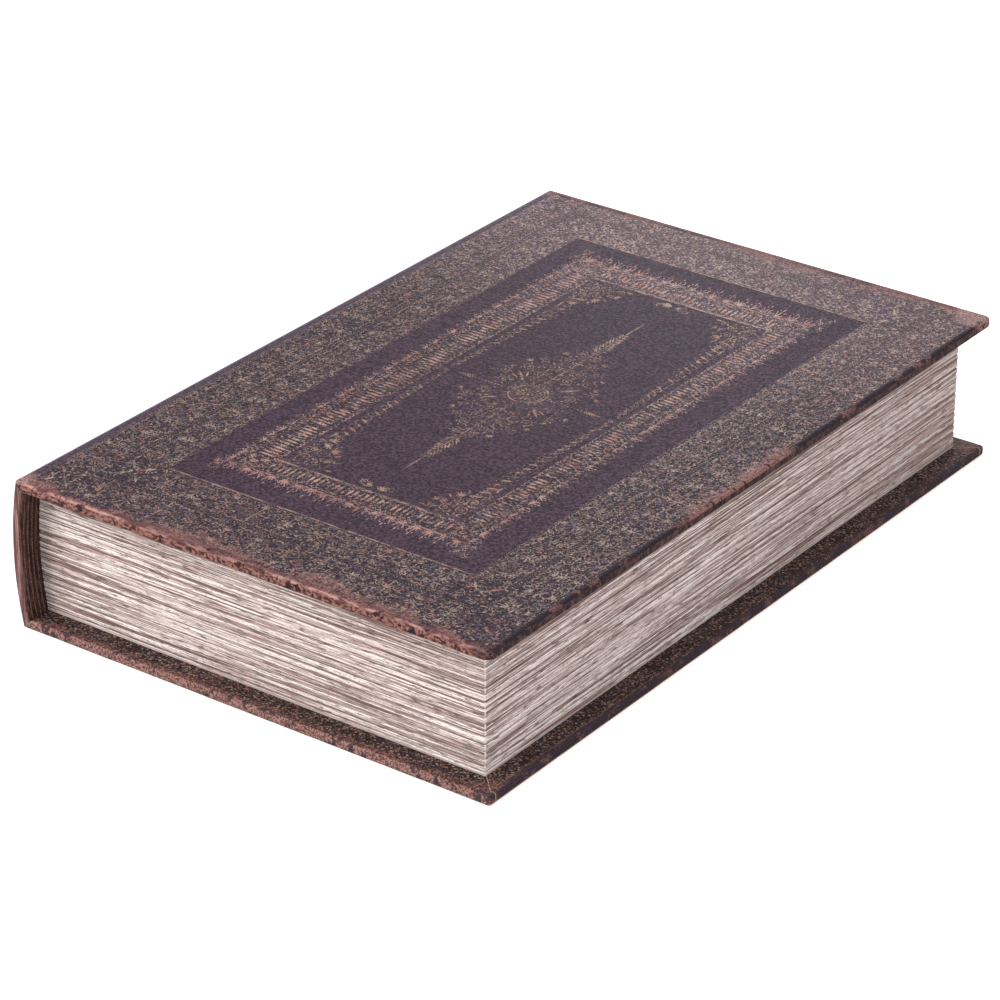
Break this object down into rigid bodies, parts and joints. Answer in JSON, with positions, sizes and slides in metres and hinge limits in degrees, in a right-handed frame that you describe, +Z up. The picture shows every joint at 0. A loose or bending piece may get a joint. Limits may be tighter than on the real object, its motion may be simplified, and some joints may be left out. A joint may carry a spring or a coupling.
{
  "type": "book box",
  "caption": "Keepsake box in the form of an old leather-bound book lying flat, with a hinged front cover as its lid and embossed page edges.",
  "frame": {"origin": "centre of the base of the closed box, on the surface that it lies on", "axes": "+X from the spine to the fore edge, +Y from the tail to the head, +Z up"},
  "size_m": [0.1694, 0.26, 0.0475],
  "materials": {
    "leatherette": "printed and grained dark aubergine sheet with a worn beige-gold ornament",
    "grey_board": "raw grey board",
    "endpaper": "matt tan paper",
    "page_edge": "embossed sheet in the look of aged page edges",
    "tray_wood": "raw fibreboard",
    "lining": "short flock on paper",
    "steel": "nickel-plated"
  },
  "bodies": {
    "box": {"spine_board": "grey_board", "spine_wrap": "leatherette", "back_board": "grey_board", "back_wrap": "leatherette", "hinge_strip": "leatherette", "joint_liner": "endpaper", "tray_floor": "tray_wood", "spine_wall": "tray_wood", "tail_wall": "tray_wood", "head_wall": "tray_wood", "fore_wall": "tray_wood", "page_edge": "page_edge", "rim_paper": "endpaper", "floor_lining": "lining", "spine_lining": "lining", "tail_lining": "lining", "head_lining": "lining", "fore_lining": "lining", "closing_magnets": "steel"},
    "cover": {"front_board": "grey_board", "front_wrap": "leatherette", "front_endpaper": "endpaper", "keeper_discs": "steel"}
  },
  "joints": [
    {"name": "cover_hinge", "type": "hinge", "parent": "box", "child": "cover", "pos_m": [-0.08225, 0, 0.0475], "axis": [0, -1, 0], "range_deg": [0, 196], "deforming": ["hinge_strip", "joint_liner"]}
  ]
}
